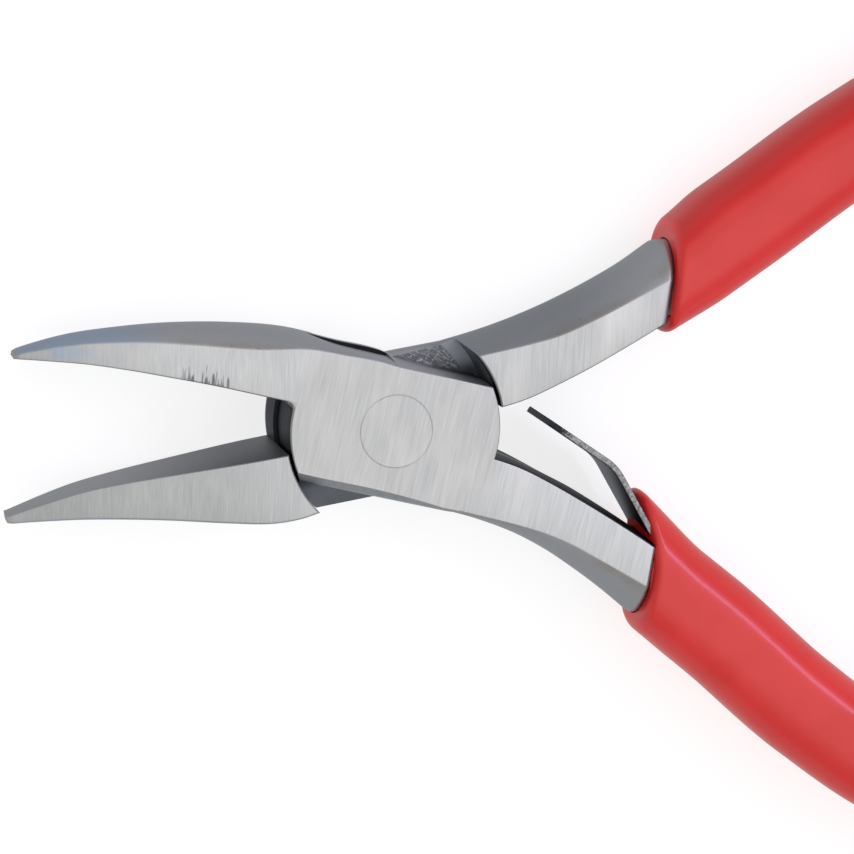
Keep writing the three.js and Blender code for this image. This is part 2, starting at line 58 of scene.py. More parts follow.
THICKNESS = 9.0
MID = THICKNESS / 2
UPPER_TIP_X = -32.0
LOWER_TIP_X = -32.75
FRONT_LAP_RADIUS = 9.0
REAR_LAP_RADIUS = 9.35
SHOULDER_GAP = 0.3
LAP_HEIGHT = 3.45
LAP_CLEARANCE = 0.06
FLOOR_INSET = 0.45  # the joint's floor ends this much short of the plate's round side
FLOOR_INSET_HEIGHT = 0.9
UNDERCUT_RADIUS = 8.1  # a shallow ring is cut in the rear plate, under the shoulder
UNDERCUT_DEPTH = 0.25
UNDERCUT_END_Y = -3.7  # the ring stops short of the plate's lower side
ROOT_FILLET = 0.6
PIVOT_RADIUS = 3.09
RUNNING_GAP = 0.05
RIVET_SEAM = 0.008
SIDE_ANGLE = math.radians(66)  # the round side of a forging meets its flat faces at a crease
EDGE = 0.22  # rounding of the forgings' long edges
SHANK_DRAFT = 0.35

MOUTH_LINE = [(-32.5, -1.38), (-29.5, -0.85), (-26.5, -0.43), (-23, -0.25), (-18, -0.2), (0, -0.2)]
MOUTH_RELIEF = [(-32.5, 0.03), (-27, 0.07), (-21, 0.34), (-15, 0.62), (0, 0.62)]
UPPER_JAW_CREST = [
    (-32.5, -1), (-31, -0.05), (-28, 1.52), (-24, 3.02), (-20, 4.24), (-15, 5.35), (-10.5, 5.95),
    (-6, 5.85), (-1.6, 5.8), (0, 5.4), (8, 5.4),
]
LOWER_JAW_CREST = [
    (-32.5, 2.25), (-30, 2.55), (-27, 2.97), (-24, 3.5), (-20, 4.3), (-15, 5.45), (-11.5, 6.1),
    (-9, 6.1), (-7, 5.8), (8, 5.8),
]
UPPER_FLAT_SHARE = [(-32.5, 0.7), (-24, 0.72), (-13, 0.73), (-8, 0.88), (8, 0.9)]
LOWER_FLAT_SHARE = [(-32.5, 0.85), (-24, 0.9), (-13, 0.93), (-8, 0.95), (8, 0.95)]
JAW_THICKNESS = [
    (-32.5, 2.4), (-31, 2.9), (-29, 3.6), (-24, 4.95), (-18, 6.9), (-12, 8.7), (-9, 9), (8, 9),
]
FRONT_LAP_SIDES = ((5.35, 5.42), (5.6, 6.3))  # top and bottom: edge of the flat face, and crest
REAR_LAP_SIDES = ((4.9, 5.65), (5.5, 6.6))
PLATE_RIM = 0.12  # rounding of the edges round the plates' outer faces
BEVEL_LINE = [(-9.6, 4.95), (-7, 5.12), (0, 5.15), (5, 5.45), (9, 5.95)]  # along the front plate's face
BEVEL_OUTER = 6.5
BEVEL_DEPTH = 1.2
LEDGE_LINE = [(-8.4, 5.93), (-7.2, 5.74), (-6, 5.6), (-3, 5.53), (-1.3, 5.5)]  # in the plate's round side
LEDGE_HEIGHT = 4.6
BESIDE_PLATES = 7.0  # a cutter that reaches out to this Y is clear of both plates' sides
MOUTH_GAP = 0.03
TIP_CHAMFER = 0.12

TANG_WIDTH = 5.2
TANG_THICKNESS = 6.4
TANG_END_X = 89.0
GRIP_END_X = 94.5
GRIP_MOUTH_ROUNDING = 0.8
GRIP_END_ROUNDING = 4.0
GRIP_SQUARENESS = 2.6
MOUTH_REACH = 5.0
SLEEVE_GAP = 0.12

STRIP_THICKNESS = 0.54
STRIP_WIDTH = 6.4
STRIP_REST_GAP = 0.1
STRIP_ROOT = (25.3, -4.6)
STRIP_ELBOW = (20.2, 0.7)
STRIP_TIP = (13.3, 3.3)
FOOT_START_X = 26.1
FOOT_END_X = 33.5
FOOT_ROOM = 0.3  # round the spring, inside the lower grip
BLADE_SWING = [(26.4, -4.9), (25.8, -4.3), (21, 0.75), (19, -3), (24, -5.2), (26.2, -5.9)]

UPPER_TONE = (0.55, 0.56, 0.565)
LOWER_TONE = (0.51, 0.52, 0.52)
# Painted reflection: bluish tints on the jaws' faces and round sides near the tip.
BLUE_REFLECTION_FACE = (0.33, 0.43, 0.60)
BLUE_REFLECTION_SIDE = (0.42, 0.51, 0.64)
# Painted shade: the joint's walls next to the flat face.
NEAR_BLACK = (0.012, 0.012, 0.014)

CAMERA_PLACE = (-0.06463, 0.04831, 0.25616)
CAMERA_FORWARD = (0.2580, -0.1839, -0.9485)
CAMERA_UPWARD = (-0.0567, 0.9984, 0)
CAMERA_LENS = 131.522
SKY = [  # brightness of the room from straight down (0) to straight up (1)
    (0.0, (0.47, 0.48, 0.50)), (0.46, (0.50, 0.51, 0.53)), (0.54, (0.66, 0.67, 0.69)),
    (0.68, (0.40, 0.41, 0.42)), (0.84, (0.46, 0.465, 0.47)), (0.93, (0.98, 0.98, 0.97)),
    (1.0, (1.0, 1.0, 1.0)),
]


# ------------------------------------------------------------------------------------------ helpers


def line_through(points):
    """y as a smooth function of x, through the points of a line."""
    xs = [x for x, _ in points]
    ys = [y for _, y in points]
    chords = [(ys[i + 1] - ys[i]) / (xs[i + 1] - xs[i]) for i in range(len(xs) - 1)]
    slopes = [chords[0]] + [(a + b) / 2 for a, b in zip(chords, chords[1:])] + [chords[-1]]

    def value(x):
        x = min(max(x, xs[0]), xs[-1])
        i = next((k for k in range(len(xs) - 2) if x < xs[k + 1]), len(xs) - 2)
        width = xs[i + 1] - xs[i]
        t = (x - xs[i]) / width
        start = (1 + 2 * t) * (1 - t) ** 2 * ys[i] + t * (1 - t) ** 2 * width * slopes[i]
        end = t * t * (3 - 2 * t) * ys[i + 1] + t * t * (t - 1) * width * slopes[i + 1]
        return start + end

    return value


def lerp(a, b, t):
    return a + (b - a) * t


def soft_step(x, a, b):
    t = min(max((x - a) / (b - a), 0.0), 1.0)
    return t * t * (3 - 2 * t)


def spread(a, b, count):
    """Values from a to b, both included."""
    return [lerp(a, b, i / count) for i in range(count + 1)]


def loft(rings):
    """Closed skin over rings of points, as (points, faces). Seen from the last, they turn anticlockwise."""
    size = len(rings[0])
    points = [p for ring in rings for p in ring]
    faces = []
    for i in range(len(rings) - 1):
        for j in range(size):
            a, b = i * size + j, i * size + (j + 1) % size
            faces.append((a, b, b + size, a + size))
    faces.append(tuple(reversed(range(size))))
    faces.append(tuple(range(len(points) - size, len(points))))
    return points, faces


def flipped(skin):
    """The same skin on the other side of the tool's middle line."""
    points, faces = skin
    return [(x, -y, z) for x, y, z in points], [tuple(reversed(f)) for f in faces]


def turned_solid(profile, steps=128):
    """A solid of revolution round Z, from (radius, z) points that rise from the axis back to the axis."""
    inner = profile[1:-1]
    rings = []
    for radius, z in inner:
        angles = [2 * math.pi * k / steps for k in range(steps)]
        rings.append([(radius * math.cos(a), radius * math.sin(a), z) for a in angles])
    return loft(rings)


def mesh_of(name, skin):
    mesh = bpy.data.meshes.new(name)
    mesh.from_pydata(skin[0], [], skin[1])
    mesh.update()
    return mesh


def combine(name, first, *steps):
    """Joins and cuts skins in order: each step is ("UNION" or "DIFFERENCE", skin). Gives a mesh."""
    base = bpy.data.objects.new(name, mesh_of(name, first))
    bpy.context.collection.objects.link(base)
    tools = []
    for operation, skin in steps:
        tool = bpy.data.objects.new(name + "_tool", mesh_of(name + "_tool", skin))
        bpy.context.collection.objects.link(tool)
        modifier = base.modifiers.new("cut", "BOOLEAN")
        modifier.operation = operation
        modifier.solver = "EXACT"
        modifier.object = tool
        tools.append(tool)
    evaluated = base.evaluated_get(bpy.context.evaluated_depsgraph_get())
    result = bpy.data.meshes.new_from_object(evaluated)
    result.name = name
    for thing in [base, *tools]:
        bpy.data.objects.remove(thing)
    return result


def make_object(name, mesh, turn, material, smooth_angle=30):
    """Turns a millimetre mesh to its rest pose, scales it to metres and makes a smooth shaded object."""
    mesh.transform(Matrix.Scale(MM, 4) @ Matrix.Rotation(turn, 4, "Z"))
    mesh.materials.clear()
    mesh.materials.append(material)
    mesh.shade_smooth()
    mesh.set_sharp_from_angle(angle=math.radians(smooth_angle))
    piece = bpy.data.objects.new(name, mesh)
    bpy.context.collection.objects.link(piece)
    return piece


# ------------------------------------------------------------------------------------------- forgings


def rounded(corners):
    """A closed outline from (point, rounding) corners, with a small three-step curve at each rounding."""
    outline = []
    count = len(corners)
    for i, (corner, rounding) in enumerate(corners):
        if not rounding:
            outline.append(corner)
            continue
        here = Vector(corner)
        before = Vector(corners[i - 1][0]) - here
        after = Vector(corners[(i + 1) % count][0]) - here
        start = here + before * min(rounding / before.length, 0.45)
        end = here + after * min(rounding / after.length, 0.45)
        for t in spread(0, 1, 3):
            point = start * (1 - t) ** 2 + here * 2 * t * (1 - t) + end * t * t
            outline.append((point.x, point.y))
    return outline


def forged_ring(x, inner, flat, crest, thickness, draft=0.0):
    """Section of a forging at x: ground front and rear faces, a round outer side, and an inner side."""
    half = thickness / 2
    edge = min(EDGE, 0.18 * thickness)
    corners = [((inner - draft, MID), 0.3 if draft else 0.05)]
    corners.append(((inner, MID - half), edge))
    rim = math.cos(SIDE_ANGLE)
    for angle in spread(-SIDE_ANGLE, SIDE_ANGLE, 16):
        y = flat + (crest - flat) * (math.cos(angle) - rim) / (1 - rim)
        z = MID + half * math.sin(angle) / math.sin(SIDE_ANGLE)
        corners.append(((y, z), 0.15 if abs(angle) > SIDE_ANGLE - 0.001 else 0))
    corners.append(((inner, MID + half), edge))
    return [(x, y, z) for y, z in rounded(corners)]


def jaw(tip_x, inner_at, crest_at, share_at):
    """A jaw on the +Y side, from its tip, which has a small chamfer, to the middle of the joint."""
    thickness_at = line_through(JAW_THICKNESS)
    rings = []
    for x in [*spread(tip_x, tip_x + 0.4, 3), *spread(tip_x + 0.8, -26, 26), *spread(-25.6, 0, 64)]:
        chamfer = TIP_CHAMFER * (1 - soft_step(x, tip_x - 0.2, tip_x + 0.4))
        inner = inner_at(x)
        crest = crest_at(x) - chamfer
        thickness = min(THICKNESS, thickness_at(x)) - 2 * chamfer
        flat = lerp(inner, crest, share_at(x))
        rings.append(forged_ring(x, inner, flat, crest, thickness))
    return loft(rings)


class Handle:
    """The lines of one handle and of its grip, as functions of x."""

    def __init__(self, inner, flat, crest, middle, grip_width, mouth_x, mouth_slant, lip_length, lip_lift):
        self.inner_at = line_through(inner)
        self.flat_at = line_through(flat)
        self.crest_at = line_through(crest)
        self.middle_at = line_through(middle)
        self.grip_width = grip_width
        self.mouth_x = mouth_x
        self.mouth_slant = mouth_slant
        self.lip_length = lip_length
        self.lip_lift = lip_lift

    def stretch(self, x):
        """How much longer a width across the run is when it is measured along Y."""
        return math.hypot(1, self.middle_at(x + 0.5) - self.middle_at(x - 0.5))

    def forging(self, growth=0.0):
        """The handle's steel on the +Y side, from the middle of the joint to the end of its tang."""
        rings = []
        ends = TANG_END_X + growth
        shank = [*spread(0, 23.4, 78), *spread(23.55, 27, 26)]
        tang = [*spread(27.5, 46, 24), *spread(48, ends, 20)]
        for x in [*shank, *tang]:
            drop = soft_step(x, self.mouth_x - 0.75, self.mouth_x + 0.15)
            narrowing = soft_step(x, 25, 31)
            near_mouth = soft_step(x, self.mouth_x - 4, self.mouth_x - 1.5)
            slant = self.mouth_slant * near_mouth * (1 - soft_step(x, self.mouth_x + 2, self.mouth_x + 5))
            half_tang = TANG_WIDTH / 2 * self.stretch(x)
            inner = lerp(self.inner_at(x - slant), self.middle_at(x) - half_tang, soft_step(x, 33, 44))
            crest = lerp(self.crest_at(x + slant), self.middle_at(x) + half_tang, narrowing)
            flat = lerp(self.flat_at(x), self.middle_at(x) + 1, narrowing)
            thickness = lerp(THICKNESS, TANG_THICKNESS, drop)
            draft = SHANK_DRAFT * soft_step(x, 12, 18) * (1 - drop)
            ring = forged_ring(x, inner - growth, flat, crest + growth, thickness + 2 * growth, draft)
            width = crest - inner
            rings.append([(x + slant * (2 * (y - inner) / width - 1), y, z) for _, y, z in ring])
        return loft(rings)

    def sleeve(self):
        """Outside of the grip on the +Y side: a squared round section, a rolled mouth and a round end."""
        end_x = GRIP_END_X - GRIP_END_ROUNDING
        roll = spread(0, math.pi / 2, 8)
        stations = [self.mouth_x + GRIP_MOUTH_ROUNDING * (1 - math.cos(a)) for a in roll]
        stations += spread(self.mouth_x + GRIP_MOUTH_ROUNDING + 0.3, end_x, 120)
        stations += [end_x + GRIP_END_ROUNDING * math.sin(a) for a in spread(0.15, 1.55, 12)]
        rings = []
        for x in stations:
            from_mouth = min(1.0, (x - self.mouth_x) / GRIP_MOUTH_ROUNDING)
            into_end = max(0.0, (x - end_x) / GRIP_END_ROUNDING)
            rounding = GRIP_MOUTH_ROUNDING * (1 - math.sqrt(max(0.0, 1 - (1 - from_mouth) ** 2)))
            closing = math.sqrt(max(0.0, 1 - into_end**2))
            half_width = (self.grip_width / 2 - rounding) * self.stretch(x) * closing
            half_height = (MID - rounding) * closing
            near_mouth = 1 - soft_step(x, self.mouth_x, self.mouth_x + MOUTH_REACH)
            ring = []
            for k in range(64):
                angle = 2 * math.pi * k / 64
                across = squared(math.cos(angle))
                upward = squared(math.sin(angle))
                lip = near_mouth * max(0.0, -across) ** 2
                forward = near_mouth * self.mouth_slant * across - lip * self.lip_length
                y = self.middle_at(x) + half_width * across - lip * self.lip_lift
                ring.append((x + forward, y, MID + half_height * upward))
            rings.append(ring)
        return loft(rings)


def squared(value):
    """A cosine or sine pushed outwards, which squares up a round section."""
    return math.copysign(abs(value) ** (2 / GRIP_SQUARENESS), value)


UPPER_HANDLE = Handle(
    inner=[(-8, -0.2), (9, 0.2), (11.6, 0.5), (14.3, 1.17), (17.5, 2.12), (20.5, 3.15), (24.5, 4.65),
           (33, 8.2), (44, 13.3)],
    flat=[(-8, 4.7), (5, 4.8), (8, 5), (12.5, 5.15), (15, 5.35), (17.5, 5.9), (20, 6.6), (25, 8.2)],
    crest=[(-8, 5), (5, 5.3), (8, 5.65), (10.3, 6.05), (13.4, 6.72), (16.5, 7.5), (19.8, 8.5),
           (22.8, 9.6), (25.7, 11)],
    middle=[(20, 4.9), (25.6, 7.5), (34, 11.4), (44, 16.1), (54, 19.7), (64, 21.4), (74, 21.6),
            (84, 20.8), (94.5, 19.4)],
    grip_width=8.75, mouth_x=25.9, mouth_slant=0.95, lip_length=0, lip_lift=0,
)
LOWER_HANDLE = Handle(
    inner=[(-8, 0.1), (9, 0.5), (11.6, 0.84), (14.3, 1.52), (17.5, 2.5), (20.5, 3.5), (24.5, 4.95),
           (33, 8.3), (44, 13.4)],
    flat=[(-8, 5.3), (8, 5.6), (12.5, 5.75), (15, 5.95), (17.5, 6.4), (20, 7.1), (25, 8.6)],
    crest=[(-8, 6), (8, 6.2), (10.3, 6.45), (13.4, 6.98), (16.5, 7.83), (19.8, 9.08), (22.8, 10.4),
           (25.7, 11.85)],
    middle=[(20, 5.2), (25.6, 7.85), (34, 11.8), (44, 17), (54, 21), (64, 22.8), (74, 22.8),
            (84, 21.8), (94.5, 20.2)],
    grip_width=9.2, mouth_x=25.85, mouth_slant=0.3, lip_length=2.1, lip_lift=2.1,
)


def lap_plate(radius, low, high, sides, floor_inset=0.0):
    """Lap plate with round free ends. Its top side comes in by `floor_inset` at the joint's floor."""
    rim = PLATE_RIM
    top_side, bottom_side = sides
    outer_face = high if high > MID else low
    steps = [0, 0.02, 0.15, 0.45, 1]
    near = [outer_face + math.copysign(rim * s, MID - outer_face) for s in steps]
    rest = spread(near[-1], low if high > MID else high, 8)[1:]
    rings = []
    for z in sorted([*near, *rest]):
        depth = abs(z - outer_face)
        inset = rim * (1 - math.sqrt(max(0.0, 1 - (1 - min(depth / rim, 1)) ** 2)))
        r = radius - inset
        angle = (z - MID) / MID * SIDE_ANGLE
        bulge = (math.cos(angle) - math.cos(SIDE_ANGLE)) / (1 - math.cos(SIDE_ANGLE))
        from_floor = min(1.0, abs(z - (low if high > MID else high)) / FLOOR_INSET_HEIGHT)
        top = math.asin((lerp(*top_side, bulge) - inset - floor_inset * (1 - from_floor) ** 2) / r)
        bottom = math.asin((lerp(*bottom_side, bulge) - inset) / r)
        angles = [*spread(-bottom, top, 48), *spread(math.pi - top, math.pi + bottom, 48)]
        rings.append([(r * math.cos(a), r * math.sin(a), z) for a in angles])
    return loft(rings)


def shoulder_cutter(radius, low, high):
    """Round cutter for a shoulder, flared at the flat face so that the edge isn't knife sharp."""
    face = THICKNESS if high > MID else 0.0
    inward = -1 if high > MID else 1
    flare = 0.12
    if high > MID:
        profile = [(0, low), (radius, low), (radius, face - flare), (radius + flare, face + 0.01),
                   (radius + flare, high), (0, high)]
    else:
        profile = [(0, low), (radius + flare, low), (radius + flare, face - 0.01),
                   (radius, face + flare), (radius, high), (0, high)]
    return turned_solid(profile, 256)


def pivot_hole(gap):
    radius = PIVOT_RADIUS + gap
    return turned_solid([(0, -1), (radius, -1), (radius, THICKNESS + 1), (0, THICKNESS + 1)])


def root_fillet():
    """Fillet in the corner between the upper jaw's gripping edge and the front lap plate."""
    corner_x, corner_y = -FRONT_LAP_RADIUS - 0.02, 0.42
    inside = ROOT_FILLET / 2  # the fillet reaches this far into the jaw and the plate
    rings = []
    for z, inset in ((LAP_HEIGHT + LAP_CLEARANCE, 0), (THICKNESS - 0.2, 0), (THICKNESS - 0.06, 0.06),
                     (THICKNESS - 0.003, 0.2)):
        ring = [(corner_x + inside, corner_y - ROOT_FILLET, z), (corner_x + inside, corner_y + inside, z),
                (corner_x - ROOT_FILLET, corner_y + inside, z)]
        for angle in spread(math.pi / 2, 0, 8):
            x = corner_x - ROOT_FILLET + (ROOT_FILLET + inset) * math.cos(angle)
            y = corner_y - ROOT_FILLET + (ROOT_FILLET + inset) * math.sin(angle)
            ring.append((x, y, z))
        rings.append(ring)
    return loft(rings)


def ledge():
    """Cutter that leaves a narrow ledge low in the round side of the front plate, next to the jaw."""
    inner_at = line_through(LEDGE_LINE)
    low, high = LEDGE_HEIGHT, THICKNESS + 1
    rings = []
    for x in spread(LEDGE_LINE[0][0], LEDGE_LINE[-1][0], 24):
        inner = inner_at(x)
        rings.append([(x, inner, low), (x, BESIDE_PLATES, low), (x, BESIDE_PLATES, high), (x, inner, high)])
    return loft(rings)


def bevel():
    """Cutter for the bevel along the lower edge of the upper jaw half's front face."""
    above = THICKNESS + 1
    edge_at = line_through(BEVEL_LINE)
    rings = []
    for x in spread(BEVEL_LINE[0][0], BEVEL_LINE[-1][0], 32):
        edge = -edge_at(x)
        low_corner = (x, -BEVEL_OUTER, THICKNESS - BEVEL_DEPTH)
        rings.append([(x, edge, THICKNESS), (x, edge, above), (x, -BEVEL_OUTER, above), low_corner])
    return loft(rings)


def undercut():
    """Cutter for the shallow ring in the rear plate, under the shoulder."""
    inner, outer = UNDERCUT_RADIUS, FRONT_LAP_RADIUS + SHOULDER_GAP
    low, high = LAP_HEIGHT - UNDERCUT_DEPTH, LAP_HEIGHT + 1
    section = [(inner, low), (inner, high), (outer, high), (outer, low)]
    end = math.asin(UNDERCUT_END_Y / inner)
    angles = spread(end, math.pi - end, 160)
    return loft([[(r * math.cos(a), r * math.sin(a), z) for r, z in section] for a in angles])


def upper_half_mesh():
    mouth_at, relief_at = line_through(MOUTH_LINE), line_through(MOUTH_RELIEF)
    upper_jaw = jaw(
        UPPER_TIP_X, lambda x: mouth_at(x) + relief_at(x), line_through(UPPER_JAW_CREST),
        line_through(UPPER_FLAT_SHARE),
    )
    plate = lap_plate(FRONT_LAP_RADIUS, LAP_HEIGHT + LAP_CLEARANCE, THICKNESS, FRONT_LAP_SIDES)
    return combine(
        "upper_half", upper_jaw,
        ("UNION", flipped(LOWER_HANDLE.forging())),
        ("DIFFERENCE", shoulder_cutter(REAR_LAP_RADIUS + SHOULDER_GAP, -1, LAP_HEIGHT + LAP_CLEARANCE)),
        ("UNION", plate),
        ("UNION", root_fillet()),
        ("DIFFERENCE", ledge()),
        ("DIFFERENCE", bevel()),
        ("DIFFERENCE", pivot_hole(RIVET_SEAM)),
    )


def lower_half_mesh():
    mouth_at = line_through(MOUTH_LINE)
    lower_jaw = jaw(
        LOWER_TIP_X, lambda x: MOUTH_GAP - mouth_at(x), line_through(LOWER_JAW_CREST),
        line_through(LOWER_FLAT_SHARE),
    )
    return combine(
        "lower_half", flipped(lower_jaw),
        ("UNION", UPPER_HANDLE.forging()),
        ("DIFFERENCE", shoulder_cutter(FRONT_LAP_RADIUS + SHOULDER_GAP, LAP_HEIGHT, THICKNESS + 1)),
        ("UNION", lap_plate(REAR_LAP_RADIUS, 0, LAP_HEIGHT, REAR_LAP_SIDES, FLOOR_INSET)),
        ("DIFFERENCE", undercut()),
        ("DIFFERENCE", pivot_hole(RUNNING_GAP)),
    )


# ------------------------------------------------------------------------------------ spring and grips


def strip_mesh():
    """The leaf spring as one strip: its foot lies on the shank, its blade rises, bends and ends free."""
    foot = [(x, STRIP_REST_GAP + STRIP_THICKNESS / 2 - LOWER_HANDLE.inner_at(x))
            for x in spread(FOOT_END_X, FOOT_START_X + 0.4, 12)]
    root, elbow, tip = Vector(STRIP_ROOT), Vector(STRIP_ELBOW), Vector(STRIP_TIP)
    path = [Vector(p) for p in foot]
    bend_start, bend_end = elbow.lerp(root, 0.17), elbow.lerp(tip, 0.13)
    path += [path[-1].lerp(root, 0.5), root]
    path += [root.lerp(bend_start, t) for t in spread(0, 1, 10)[1:-1]]
    for t in spread(0, 1, 8):
        path.append(bend_start * (1 - t) ** 2 + elbow * 2 * t * (1 - t) + bend_end * t * t)
    path += [bend_end.lerp(tip, t) for t in spread(0, 1, 12)[1:]]
    half = STRIP_THICKNESS / 2
    half_width = STRIP_WIDTH / 2
    rings = []
    for i, point in enumerate(path):
        along = (path[min(i + 1, len(path) - 1)] - path[max(i - 1, 0)]).normalized()
        across = Vector((-along.y, along.x))
        corners = [((-half, -half_width), 0.12), ((half, -half_width), 0.12),
                   ((half, half_width), 0.12), ((-half, half_width), 0.12)]
        ring = []
        for offset, height in rounded(corners):
            place = point + across * offset
            ring.append((place.x, place.y, MID + height))
        rings.append(ring)
    return mesh_of("leaf_spring_strip", loft(rings))


def upper_grip_mesh():
    return combine(
        "upper_sleeve", UPPER_HANDLE.sleeve(),
        ("DIFFERENCE", UPPER_HANDLE.forging(SLEEVE_GAP)),
    )


def box_skin(outline, low, high):
    return loft([[(x, y, low) for x, y in outline], [(x, y, high) for x, y in outline]])


def lower_grip_mesh():
    half_width = STRIP_WIDTH / 2 + FOOT_ROOM
    low, high = MID - half_width, MID + half_width
    over_foot = [(x, STRIP_REST_GAP + STRIP_THICKNESS + 0.1 - LOWER_HANDLE.inner_at(x))
                 for x in spread(FOOT_START_X - 1, FOOT_END_X + FOOT_ROOM, 12)]
    foot_room = over_foot + [(FOOT_END_X + FOOT_ROOM, -9.5), (FOOT_START_X - 1, -6)]
    return combine(
        "lower_sleeve", flipped(LOWER_HANDLE.sleeve()),
        ("DIFFERENCE", flipped(LOWER_HANDLE.forging(SLEEVE_GAP))),
        ("DIFFERENCE", box_skin(foot_room[::-1], low, high)),
        ("DIFFERENCE", box_skin(BLADE_SWING[::-1], low, high)),
    )


# ---------------------------------------------------------------------------------------- materials


class Nodes:
    """A short way to write a material's node tree. Lengths are in millimetres of a half's own frame."""

    def __init__(self, name, turn=0.0):
        self.material = bpy.data.materials.new(name)
        self.material.use_nodes = True
        self.tree = self.material.node_tree
        self.shader = self.tree.nodes["Principled BSDF"]
        source = self.add("ShaderNodeTexCoord")
        self.place = self.turned(source.outputs["Object"], -turn)
        self.x, self.y, self.z = (self.math("MULTIPLY", v, 1 / MM) for v in self.split(self.place))
        facing = self.turned(source.outputs["Normal"], -turn)
        self.facing_x, self.facing_y, self.facing_z = self.split(facing)

    def add(self, kind, values=None, **settings):
        node = self.tree.nodes.new(kind)
        for key, value in settings.items():
            setattr(node, key, value)
        for key, value in (values or {}).items():
            if isinstance(value, bpy.types.NodeSocket):
                self.tree.links.new(value, node.inputs[key])
            else:
                node.inputs[key].default_value = value
        return node

    def turned(self, vector, angle):
        values = {"Vector": vector, "Angle": angle}
        return self.add("ShaderNodeVectorRotate", values, rotation_type="Z_AXIS").outputs[0]

    def split(self, vector):
        return self.add("ShaderNodeSeparateXYZ", {0: vector}).outputs[:3]

    def link(self, socket, name):
        self.tree.links.new(socket, self.shader.inputs[name])

    def metal(self, colour, roughness, marks):
        """Makes the shader a metal, with fine marks from 0 to 1 as its bumps."""
        self.link(colour, "Base Color")
        self.link(roughness, "Roughness")
        self.shader.inputs["Metallic"].default_value = 1.0
        bump = self.add("ShaderNodeBump", {"Strength": 0.22, "Distance": 0.00001, "Height": marks})
        self.link(bump.outputs[0], "Normal")

    def math(self, operation, a, b=0.5):
        return self.add("ShaderNodeMath", {0: a, 1: b}, operation=operation).outputs[0]

    def step(self, value, start, end):
        """Rises smoothly from 0 to 1 between start and end, or falls if end is lower than start."""
        rising = end > start
        node = self.add("ShaderNodeMapRange", {"Value": value}, interpolation_type="SMOOTHSTEP")
        limits = (start, end, 0.0, 1.0) if rising else (end, start, 1.0, 0.0)
        for name, limit in zip(("From Min", "From Max", "To Min", "To Max"), limits):
            node.inputs[name].default_value = limit
        return node.outputs["Result"]

    def both(self, *masks):
        """Where all of the masks hold."""
        result = masks[0]
        for mask in masks[1:]:
            result = self.math("MULTIPLY", result, mask)
        return result

    def either(self, a, b):
        return self.math("MAXIMUM", a, b)

    def radius(self):
        """Distance from the pivot's axis."""
        squares = self.math("ADD", self.math("POWER", self.x, 2.0), self.math("POWER", self.y, 2.0))
        return self.math("SQRT", squares)

    def mix(self, factor, a, b, blend="MIX"):
        node = self.add("ShaderNodeMix", data_type="RGBA", blend_type=blend)
        for index, value in ((0, factor), (6, a), (7, b)):
            if isinstance(value, bpy.types.NodeSocket):
                self.tree.links.new(value, node.inputs[index])
            elif isinstance(value, tuple):
                node.inputs[index].default_value = (*value, 1)
            elif index:
                node.inputs[index].default_value = (value, value, value, 1)
            else:
                node.inputs[index].default_value = value
        return node.outputs[2]

    def blend(self, factor, a, b):
        """Like mix, for plain numbers."""
        node = self.add("ShaderNodeMix", {0: factor, 2: a, 3: b}, data_type="FLOAT")
        return node.outputs[0]

    def noise(self, size, detail=3.0, stretch=(1, 1, 1), turn=0.0, roughness=0.55, seed=0.0):
        """Noise from 0 to 1, with features of about `size` mm, stretched along axes turned by `turn`."""
        mapping = self.add("ShaderNodeMapping", {
            "Vector": self.place,
            "Location": (seed, seed * 0.7, seed * 0.3),
            "Rotation": (0, 0, turn),
            "Scale": tuple(size * MM * s for s in stretch),
        }, vector_type="TEXTURE")
        return self.add("ShaderNodeTexNoise", {
            "Vector": mapping.outputs[0], "Scale": 1.0, "Detail": detail, "Roughness": roughness,
        }).outputs["Fac"]


def scratches(n, turn, seed=0.0):
    """Fine grinding marks across the tool, with some wider ones among them, from 0 to 1."""
    fine = n.noise(0.065, 2, (1, 55, 1), turn, 0.6, seed)
    wide = n.noise(0.16, 3, (1, 30, 1), turn + 0.05, 0.6, seed + 0.011)
    return n.step(n.blend(0.35, fine, wide), 0.3, 0.7)


def ground_steel(n, lap_marks, jaw_marks, tone, jaw_gain=1.0, tip_gain=1.0):
    """Colour, roughness and marks of the ground faces: the marks lean differently on the jaw."""
    on_jaw = n.step(n.x, -7.0, -10.8)
    marks = n.blend(on_jaw, scratches(n, lap_marks), scratches(n, jaw_marks, 0.02))
    haze = n.noise(5.5, 3, (1, 1.8, 1), jaw_marks, 0.5, 0.05)
    colour = n.mix(marks, tuple(0.89 * t for t in tone), tuple(1.07 * t for t in tone))
    colour = n.mix(n.step(haze, 0.42, 0.72), colour, n.mix(0.45, colour, (0.72, 0.70, 0.69)))
    on_lap = n.step(n.radius(), 10.5, 8.5)
    # Painted light and shade: the jaw's face is brightened or darkened by jaw_gain, and the tip's by
    # tip_gain.
    gain = n.blend(n.step(n.x, -11.0, -17.0), 1.0, jaw_gain)
    gain = n.blend(n.step(n.x, -17.0, -28.0), gain, tip_gain)
    warmer = n.mix(1.0, colour, (0.86, 0.845, 0.825), "MULTIPLY")
    colour = n.mix(n.math("MULTIPLY", on_lap, 0.55), colour, warmer)
    colour = n.mix(1.0, colour, gain, "MULTIPLY")
    near_pivot = n.both(n.step(n.radius(), PIVOT_RADIUS - 0.09, PIVOT_RADIUS - 0.02),
                        n.step(n.radius(), PIVOT_RADIUS + 0.09, PIVOT_RADIUS + 0.02))
    seam = n.both(near_pivot, n.step(n.noise(2.6, 2, (1, 1, 1), 0, 0.5, 0.033), 0.34, 0.62))
    colour = n.mix(n.math("MULTIPLY", seam, 0.4), colour, (0.16, 0.16, 0.17))
    return colour, n.blend(marks, 0.43, 0.36), marks


